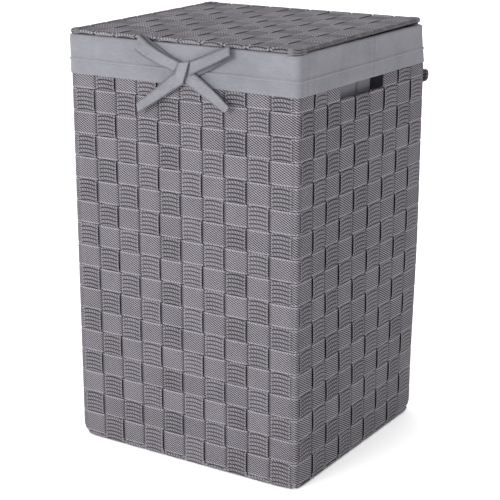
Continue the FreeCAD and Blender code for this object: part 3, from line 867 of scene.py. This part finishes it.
CORNER_WRAP = 3.1 * MM                # corner patch's middle from the wire's centre
CORNER_REACH = 7.0 * MM               # how far a patch goes on along each side
CORNER_DROOP = [(3.3, -2.0), (3.7, -3.8), (3.9, -5.6)]


def corner_profile(droops):
    """Across a corner patch, (outward, up) of the wire: round it and under, or hanging."""
    wrap = CORNER_WRAP
    over = [(-5.2 * MM, wrap - 0.9 * MM), (-2.5 * MM, wrap - 0.1 * MM)]
    if droops:
        under = [arc((0.0, 0.0), wrap, 80, 0, 5), mm(*CORNER_DROOP)]
    else:
        under = [arc((0.0, 0.0), wrap, 80, 0, 5), arc((0.0, 0.0), wrap, -16, -80, 4),
                 [(-2.5 * MM, 0.1 * MM - wrap), (-5.0 * MM, 0.2 * MM - wrap)]]
    return through(np.concatenate([over] + under), 1.0 * MM)


def make_lid_corners(material):
    """A short length of webbing folded round each corner of the lid's wire."""
    for name, sx, sy in (("front_left", -1, -1), ("front_right", 1, -1),
                         ("rear_left", -1, 1), ("rear_right", 1, 1)):
        centre = np.array([sx * (LID_RING_X - LID_CORNER_R),
                           LID_MID_Y + sy * (LID_RING_Y - LID_CORNER_R), LID_Z])
        bisector = np.array([sx, sy, 0.0]) / math.sqrt(2)
        side = np.array([-sy, sx, 0.0]) / math.sqrt(2) * (1 if sx * sy > 0 else -1)
        profile = corner_profile(name == "front_right")
        angles = np.linspace(-66, 66, 19)             # the last 21 degrees lie straight
        rows = []
        for angle in angles:
            turned = math.radians(max(-45.0, min(45.0, angle)))
            beyond = (abs(angle) - 45.0) / 21.0 * CORNER_REACH if abs(angle) > 45 else 0.0
            outward = bisector * math.cos(turned) + side * math.sin(turned)
            tangent = -bisector * math.sin(turned) + side * math.cos(turned)
            spot = centre + outward * LID_CORNER_R + tangent * beyond * (1 if angle > 0 else -1)
            rows.append(spot + outward * profile[:, :1] + Z * profile[:, 1:])
        points = np.array(rows).transpose(1, 0, 2)
        lengths = np.concatenate([[0], np.cumsum(np.linalg.norm(np.diff(profile, axis=0),
                                                                axis=1))])
        mesh = Mesh()
        mesh.grid(points, lengths * 1.8, np.radians(angles) * 16 * MM)
        piece = mesh.make("lid_corner_" + name, material, thickness=0.9 * MM)
        place(piece, "lid")


LOOP_OUT, LOOP_DROP = 9.5 * MM, 12.0 * MM    # how far a loop lies out and below the CAD's


def make_hinge_ends(material):
    """From the hinge line down the rear of the cuff and round into a loop."""
    for side, i in (("left", 0), ("right", COLS_X - 1)):
        low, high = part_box("hinge_strap_" + side)
        loop = (high.y + LOOP_OUT) / MM
        bottom = (low.z - LOOP_DROP) / MM
        tuck = HALF_D / MM + 1.0
        y, z = HINGE_Y / MM, HINGE_Z / MM
        path = through(mm(
            (y, z), (y + 0.5, z - 4), (y + 0.6, z - 20), (y + 0.4, z - 40),
            (y + 0.8, bottom + 26), (tuck + 1.5, bottom + 18.5), (loop - 8, bottom + 16),
            (loop - 2, bottom + 13.5), (loop, bottom + 8.5), (loop - 1.5, bottom + 3),
            (loop - 6, bottom + 0.3), (loop - 13, bottom), (tuck + 1.5, bottom + 1),
            (tuck, bottom + 4)), 1.6 * MM)
        mesh = Mesh()
        origin = X * column(i, COLS_X, LID_PITCH_X)
        flat_strap(mesh, path, origin, Y, Z, X, width=LID_STRAP_W)
        lay(mesh, "hinge_strap_" + side, material)


# ---- liner ----
SIDE_X, SIDE_Y, CORNER = 112, 106, 10    # steps along each side and round a corner
CLOTH_T = 0.7 * MM


def ring(half_x, half_y, radius):
    """Points round a rounded rectangle, anticlockwise from the front left, and their
    outward directions; there are as many whatever its size."""
    points, outward = [], []
    for sx, sy, count, along in ((-1, -1, SIDE_X, X), (1, -1, SIDE_Y, Y),
                                 (1, 1, SIDE_X, -X), (-1, 1, SIDE_Y, -Y)):
        corner = np.array([sx * (half_x - radius), sy * (half_y - radius), 0.0])
        out = np.array([along[1], -along[0], 0.0])
        back = -along
        angles = np.radians(np.linspace(0, 90, CORNER + 1))[:-1, None]
        turning = back * np.cos(angles) + out * np.sin(angles)
        points.append(corner + turning * radius)
        outward.append(turning)
        span = 2 * ((half_x if along[0] else half_y) - radius)
        t = np.linspace(0, span, count + 1)[:-1, None]
        points.append(corner + out * radius + along * t)
        outward.append(np.broadcast_to(out, (count, 3)))
    return np.concatenate(points), np.concatenate(outward)


def waves(positions, heights, wavelengths, size, seed):
    """Smooth unevenness over the cloth: a few sine waves with settled random phases."""
    draw = np.random.default_rng(seed)
    total = np.zeros(np.broadcast(positions, heights).shape)
    for wavelength in wavelengths:
        lean = draw.uniform(-0.6, 0.6)
        phase = draw.uniform(0, TURN, 2)
        total = total + (np.sin(TURN * (positions + lean * heights) / wavelength + phase[0])
                         * np.cos(TURN * heights / (wavelength * 1.7) + phase[1]))
    return size * total / len(wavelengths)


def loft(name, profile, shape, material, closed_end=False):
    """Cloth round the basket: profile is (inset, z, radius) rows, shape adds to the inset."""
    start, _ = ring(CUFF_X, CUFF_Y, CUFF_CORNER_R)
    steps = np.linalg.norm(np.roll(start, -1, axis=0) - start, axis=1)
    around = np.concatenate([[0.0], np.cumsum(steps)[:-1]])
    rows = []
    for inset, z, radius in profile:
        points, outward = ring(CUFF_X - inset, CUFF_Y - inset, radius)
        rows.append(points + Z * z + outward * shape(around, z, inset, points)[:, None])
    points = np.array(rows)
    drops = np.linalg.norm(np.diff(profile[:, :2], axis=0), axis=1)
    down = np.concatenate([[0.0], np.cumsum(drops)])
    mesh = Mesh()
    index = mesh.grid(points, np.broadcast_to(around, (len(profile), len(around))),
                      np.broadcast_to(down[:, None], (len(profile), len(around))),
                      closed_j=True, lengths=(0.0, 0.0))
    if closed_end:
        mesh.cap(index[-1][::-1], 0.0, [0.0] * len(around))
    return mesh.make(name, material, thickness=CLOTH_T), points


SEAM_Z = CUFF_HEM + 20.5 * MM
SIDE_SEAM_X, SIDE_SEAM_Y = 150 * MM, 17 * MM    # the upright seam is right of this x
# Soft upright creases: where round the cuff from the front left, how deep, how wide.
CREASES = mm((318, 0.6, 3.0), (331, 0.5, 2.2), (372, 0.7, 3.0), (386, 0.5, 4.0), (50, 0.5, 4.0),
             (240, 0.4, 5.0), (455, 0.5, 5.0), (700, 0.6, 4.0), (980, 0.6, 4.0))


def cuff_shape(around, z, inset, points):
    """Billows between the rim and the casing seam, pulled in along the seam."""
    outside = 1.0 - ease(np.full_like(around, inset), 1.5 * MM, 4.0 * MM)
    height = np.full_like(around, z)
    body = waves(around, height, (0.19, 0.118, 0.083), 0.75 * MM, 3)
    pucker = waves(around, height, (0.0115, 0.0087), 0.22 * MM, 4)
    near_seam = np.exp(-((z - SEAM_Z) / (3.2 * MM)) ** 2)
    upright = np.where(points[:, 0] > SIDE_SEAM_X, np.abs(points[:, 1] - SIDE_SEAM_Y), 1.0)
    sewn = np.exp(-(upright / (1.3 * MM)) ** 2) * 0.7 * MM
    puffed = np.exp(-((upright - 5 * MM) / (4 * MM)) ** 2) * 0.35 * MM
    ripple = np.exp(-(upright / (9 * MM)) ** 2) * 0.28 * MM * math.sin(TURN * z / (6.5 * MM))
    creased = np.zeros_like(around)
    for at, depth, width in CREASES:
        creased = creased + depth * np.exp(-((around - at) / width) ** 2)
    return outside * (body + pucker * near_seam + puffed + ripple - sewn - creased)


def make_cuff(material):
    """The cuff as (inset, z) from inside the bag over the rim to the hem and up again as
    the casing; returns its points, the seam's row and the rows outside."""
    inner = (CUFF_X - bag_high.x) / MM                # the bag's face from the cuff's
    top = CUFF_TOP / MM - 0.5
    hem = CUFF_HEM / MM + 0.5
    seam = SEAM_Z / MM
    outline = through(mm(
        (inner + 0.9, top - 22), (inner + 0.9, top - 10), (inner + 0.6, top - 3),
        (inner - 1.2, top - 0.5), (inner - 4.0, top), (2.4, top - 0.2), (0.9, top - 1.4),
        (0.5, top - 5), (0.45, top - 16), (0.55, seam + 5), (0.75, seam + 2.2),
        (0.95, seam + 1.3), (0.4, seam + 0.5), (-0.5, seam - 0.6), (-0.3, seam - 1.8),
        (0.5, seam - 3.2), (0.2, hem + 5), (0.3, hem + 1.0), (0.75, hem), (1.15, hem + 0.8),
        (1.2, hem + 8), (1.35, seam - 2), (1.4, seam + 2)), 1.0 * MM)
    inset, height = outline[:, 0], outline[:, 1]
    radius = np.where(inset > 4 * MM, CUFF_CORNER_R - 1.0 * MM, CUFF_CORNER_R - inset * 0.5)
    profile = np.stack([inset, height, radius], axis=1)
    piece, points = loft("liner_cuff_cloth", profile, cuff_shape, material)
    place(piece, "basket", "liner_cuff")
    outside = [i for i in range(len(profile)) if inset[i] < 1.0 * MM]
    seam_row = min(outside, key=lambda i: abs(height[i] - SEAM_Z + 1.6 * MM))
    return points, seam_row, outside


def stitches(mesh, line, outward, pitch, length):
    """Short thread stitches standing on the cloth along a line of points."""
    steps = np.linalg.norm(np.diff(line, axis=0), axis=1)
    along = np.concatenate([[0.0], np.cumsum(steps)])
    shape = ((-0.5, 0.12), (-0.35, 0.24), (0.0, 0.30), (0.35, 0.24), (0.5, 0.12))

    def at(values, spot):
        return np.array([np.interp(spot, along, values[:, k]) for k in range(3)])

    for start in np.arange(pitch, along[-1] - pitch, pitch):
        rows = []
        for share, radius in shape:
            spot = start + share * length
            middle = at(line, spot)
            out = unit(at(outward, spot))
            side = unit(np.cross(out, at(line, spot + 0.2 * MM) - middle))
            middle = middle + out * 0.40 * MM
            rows.append([middle + (out * math.sin(a) + side * math.cos(a)) * radius * MM
                         for a in np.radians([0, 72, 144, 216, 288])])
        index = mesh.grid(np.array(rows), np.arange(5) * MM, np.arange(5) * MM, closed_j=True,
                          lengths=(0.0, 0.0))
        mesh.cap(index[0], 0.0, [0.0] * 5)
        mesh.cap(index[-1][::-1], 0.0, [0.0] * 5)


def make_stitches(cuff, material):
    """A row round the casing and one up the side seam."""
    points, seam_row, outside = cuff
    _, outward = ring(CUFF_X, CUFF_Y, CUFF_CORNER_R)
    mesh = Mesh()
    line = np.concatenate([points[seam_row], points[seam_row][:1]])
    stitches(mesh, line, np.concatenate([outward, outward[:1]]), 3.4 * MM, 3.1 * MM)
    at_seam = points[seam_row]
    nearest = int(np.argmin(np.abs(at_seam[:, 1] - SIDE_SEAM_Y) + (at_seam[:, 0] < SIDE_SEAM_X)))
    up = [i for i in outside if SEAM_Z + 2 * MM < points[i, nearest, 2] < CUFF_TOP - 4 * MM]
    line = points[up, nearest + 2]
    stitches(mesh, line, np.broadcast_to(outward[nearest], line.shape), 3.2 * MM, 2.3 * MM)
    place(mesh.make("cuff_stitches", material), "basket")


# The dents that the cloth takes behind a hand slot: where along the side, how deep.
POCKET_Y, POCKET_DEPTH = (39 * MM, 41.5 * MM, 62 * MM, 74 * MM), 42 * MM
CREASE_Y, CREASE_DEPTH = 5 * MM, 8 * MM


def bag_shape(around, z, inset, points):
    """Hangs in shallow vertical folds, deepest at mid height, dented at the hand slots."""
    height = np.full_like(around, z)
    share = (z - bag_low.z) / (bag_high.z - bag_low.z)
    hang = math.sin(math.pi * min(1.0, max(0.0, share))) ** 0.6
    folds = waves(around, height * 0.35, (0.142, 0.091, 0.063), 1.0, 8) - 1.0
    slack = waves(around, height, (0.31, 0.2), 1.0, 9) - 1.0
    depth = folds * 3.2 * MM * hang + slack * 2.0 * MM * hang
    wall_y = points[:, 1]
    facing = np.abs(points[:, 0]) > HALF_W - 30 * MM
    near_slot = math.exp(-((z - row_middle(SLOT_ROW) + 4 * MM) / (34 * MM)) ** 2)
    pocket = ease(wall_y, *POCKET_Y[:2]) * (1 - ease(wall_y, *POCKET_Y[2:]))
    crease = np.exp(-((wall_y - CREASE_Y) / (1.5 * MM)) ** 2)
    dent = (pocket * POCKET_DEPTH + crease * CREASE_DEPTH) * near_slot
    return depth - np.where(facing, dent, 0.0)


def make_bag(material):
    """The bag as (inset, z) from under the rim down and in over the floor."""
    wall = (CUFF_X - bag_high.x) / MM
    rim = CUFF_TOP / MM
    floor = bag_low.z / MM + 1.0
    outline = through(mm(
        (wall + 1.9, rim - 8), (wall + 2.0, rim - 40), (wall + 2.0, 400), (wall + 2.0, 250),
        (wall + 2.2, 100), (wall + 2.4, floor + 30), (wall + 4.0, floor + 9),
        (wall + 9.0, floor + 2.5), (wall + 18, floor + 0.3), (wall + 45, floor),
        (wall + 95, floor), (wall + 140, floor)), 7 * MM)
    radius = 16 * MM - 0.02 * np.maximum(0, outline[:, :1] - 20 * MM)
    profile = np.concatenate([outline, np.clip(radius, 6 * MM, None)], axis=1)
    piece, _ = loft("liner_bag_cloth", profile, bag_shape, material, closed_end=True)
    place(piece, "basket", "liner_bag")


# ---- ribbon bow ----
BOW_LIFT = 1.15                       # how far the ribbon stands off, against the outlines
RIBBON_T = 0.8 * MM
ACROSS = 8                            # faces across a ribbon
KNOT_CURL = 1.0 * MM


def band(name, edge_a, edge_b, material, curl):
    """A ribbon between two edges given as (x, out from the cuff, z) in millimetres; curl is
    how far its middle stands out. Returns the piece and its length."""
    pair = through(np.concatenate([mm(*edge_a), mm(*edge_b)], axis=1), 1.8 * MM)
    a, b = pair[:, :3], pair[:, 3:]
    share = np.linspace(0, 1, ACROSS + 1)
    points = a[:, None] * (1 - share)[None, :, None] + b[:, None] * share[None, :, None]
    heading = unit(np.gradient((a + b) / 2, axis=0))
    facing = unit(np.cross(heading, unit(b - a)))
    bulge = curl * np.sin(np.pi * share) ** 0.5
    points = points + facing[:, None, :] * bulge[None, :, None]
    points = np.stack([points[..., 0], -CUFF_Y - points[..., 1] * BOW_LIFT, points[..., 2]],
                      axis=-1)
    steps = np.linalg.norm(np.diff(points[:, ACROSS // 2], axis=0), axis=1)
    along = np.concatenate([[0.0], np.cumsum(steps)])
    mesh = Mesh()
    mesh.grid(points, along, share * RIBBON_W)
    return mesh.make(name, material, thickness=RIBBON_T), float(along[-1])


# Each part of the bow, as its upper or left edge and the other one.
BOW = {
    "loop_left": (
        [(6, 3.0, 543), (-10, 2.5, 549), (-30, 2.5, 560), (-47, 3.5, 570), (-53, 5.5, 572),
         (-49, 7.8, 570), (-36, 7.5, 561), (-22, 6.8, 553.5), (-8, 6.0, 547.5), (6, 5.0, 542)],
        [(-2, 3.0, 530), (-18, 2.0, 536), (-38, 2.0, 543), (-55, 3.0, 551.5), (-61, 5.0, 555),
         (-59, 7.6, 551.5), (-44, 7.8, 544), (-28, 7.4, 538), (-13, 6.6, 533), (-2, 5.0, 529)]),
    "loop_right": (
        [(14, 3.0, 543), (28, 2.5, 547), (48, 2.2, 556), (70, 2.0, 564.5), (79.5, 3.2, 567.5),
         (78, 5.2, 566.5), (62, 5.5, 560), (44, 5.5, 552.5), (28, 5.5, 546), (14, 5.0, 541)],
        [(22, 3.0, 524), (38, 2.8, 529), (56, 3.4, 538), (74, 5.0, 548.5), (83.5, 8.0, 553.5),
         (81, 10.5, 554.5), (66, 9.8, 547), (50, 8.5, 539.5), (36, 7.0, 533), (22, 5.0, 526)]),
    "tail_left": (
        [(2, 4.5, 531), (-12, 4.0, 521), (-26, 3.0, 510.5), (-44, 3.2, 497), (-61, 5.5, 484)],
        [(14, 4.5, 516), (-2, 4.5, 506.5), (-18, 5.0, 496.5), (-36, 6.5, 485),
         (-55, 10.0, 473)]),
    "tail_right": (
        [(18, 4.5, 537), (32, 4.5, 528), (48, 4.6, 517.5), (66, 7.0, 506), (85, 12.0, 495)],
        [(6, 4.5, 521), (20, 4.0, 512.5), (36, 3.0, 503.5), (54, 3.6, 494.5),
         (75, 7.0, 485.5)]),
    "knot": (
        [(7, 1.0, 539), (6, 5.0, 541.5), (5.5, 8.2, 539.5), (3, 9.0, 532), (0.5, 8.4, 526),
         (0.5, 5.0, 523.5), (2, 1.0, 524)],
        [(20, 1.0, 541), (22, 4.5, 544), (22.5, 7.6, 541), (19.0, 8.4, 529),
         (14.2, 7.8, 517.5), (12.5, 4.5, 515.5), (12, 1.0, 518.5)]),
}


def make_bow(material):
    for part, (edge_a, edge_b) in BOW.items():
        knot = part == "knot"
        piece, length = band("bow_" + part, edge_a, edge_b, material, KNOT_CURL if knot else 0.0)
        place(piece, "basket", "ribbon_" + part)


# ---- everything together ----
FLOOR_HALF = 30.0
FLOOR_GLOW = 0.22                     # keeps the floor white in the hamper's shade


def make_floor():
    data = bpy.data.meshes.new("floor")
    data.from_pydata([(sx * FLOOR_HALF, sy * FLOOR_HALF, 0)
                      for sx, sy in ((-1, -1), (1, -1), (1, 1), (-1, 1))], [], [(0, 1, 2, 3)])
    floor = bpy.data.objects.new("floor", data)
    floor.location.z = -0.5 * MM
    pale = Surface("pale_floor", 0.9, Specular_IOR_Level=0.1, Base_Color=(0.96, 0.96, 0.96, 1.0),
                   Emission_Color=(1.0, 1.0, 1.0, 1.0), Emission_Strength=FLOOR_GLOW)
    data.materials.append(pale.material)
    bpy.context.scene.collection.objects.link(floor)


make_camera()
make_world()
make_key_light()
make_floor()

# The shades tell how dark each set of straps is in the photograph.
# The lid's cross straps are darker than its long ones as painted shade of how the light falls on
# the lid.
UPRIGHT_SHADE, LID_CROSS_PAINTED_SHADE, LID_CORNER_SHADE = 0.90, 0.66, 0.8
UPRIGHT_WEBBING = webbing("webbing_upright", True, UPRIGHT_SHADE)
HOOP_WEBBING = webbing("webbing_hoop", False)
COTTON = cotton("liner_cotton", (0.106, 0.107, 0.122), (0.220, 0.221, 0.248), 0.5)
RIBBON = cotton("ribbon_cotton", (0.062, 0.061, 0.071), (0.262, 0.261, 0.290), 0.35, True)
WIRE = painted_wire()

make_hoops(HOOP_WEBBING)
make_uprights(UPRIGHT_WEBBING)
make_floor_weave(UPRIGHT_WEBBING, HOOP_WEBBING)
make_lid(webbing("webbing_lid_long", True),
         webbing("webbing_lid_cross", False, LID_CROSS_PAINTED_SHADE))
make_lid_corners(webbing("webbing_lid_corner", True, LID_CORNER_SHADE))
make_wires(WIRE)
make_hinge_ends(UPRIGHT_WEBBING)
make_stitches(make_cuff(COTTON), thread())
make_bag(COTTON)
make_bow(RIBBON)

# The corner posts keep their CAD meshes.
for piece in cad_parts.values():
    if not piece.hide_render:
        piece.data.materials.clear()
        piece.data.materials.append(WIRE)
